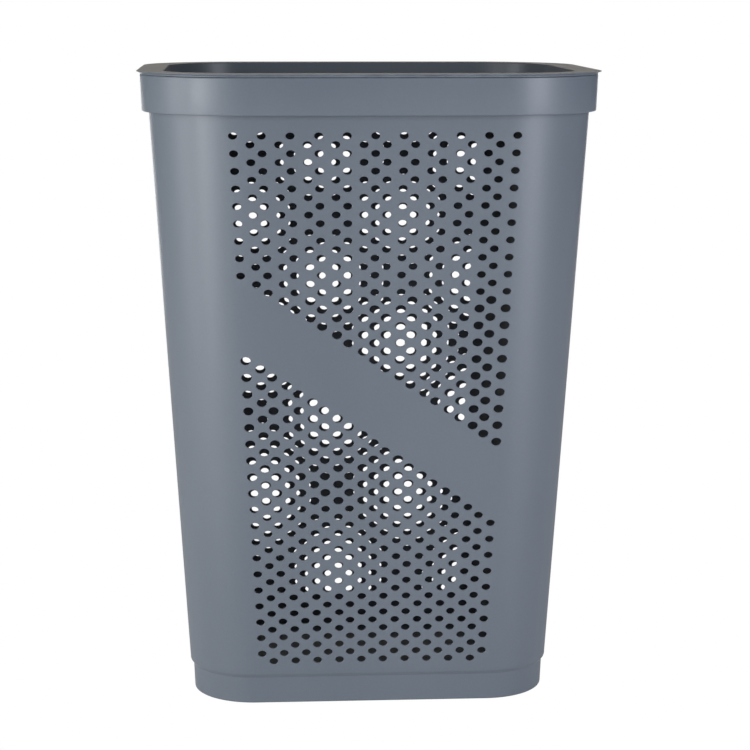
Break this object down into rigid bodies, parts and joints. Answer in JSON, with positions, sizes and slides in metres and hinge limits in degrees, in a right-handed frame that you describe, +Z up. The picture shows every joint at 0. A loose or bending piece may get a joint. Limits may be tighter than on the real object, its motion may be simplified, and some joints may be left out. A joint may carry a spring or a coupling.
{
  "type": "laundry hamper",
  "caption": "Tall tapered laundry hamper with perforated walls, a rolled rim band, an inset foot and a dished lid hinged at the back.",
  "frame": {"origin": "on the floor, under the middle of the bounding box", "axes": "+Z up; the front faces -Y and the lid's hinges are on the +Y side; +X to the right seen from the front"},
  "size_m": [0.4406, 0.3918, 0.609],
  "materials": {
    "tub_plastic": "satin moulded polypropylene, blue-grey",
    "lid_plastic": "satin moulded polypropylene, blue-grey",
    "pin_plastic": "smooth moulded polypropylene, blue-grey"
  },
  "bodies": {
    "tub": {"tub": "tub_plastic", "hinge_pin_left": "pin_plastic", "hinge_pin_right": "pin_plastic"},
    "lid": {"lid": "lid_plastic"}
  },
  "joints": [
    {"name": "lid_hinge", "type": "hinge", "parent": "tub", "child": "lid", "pos_m": [0, 0.1859, 0.599], "axis": [-1, 0, 0], "range_deg": [0, 105]}
  ]
}
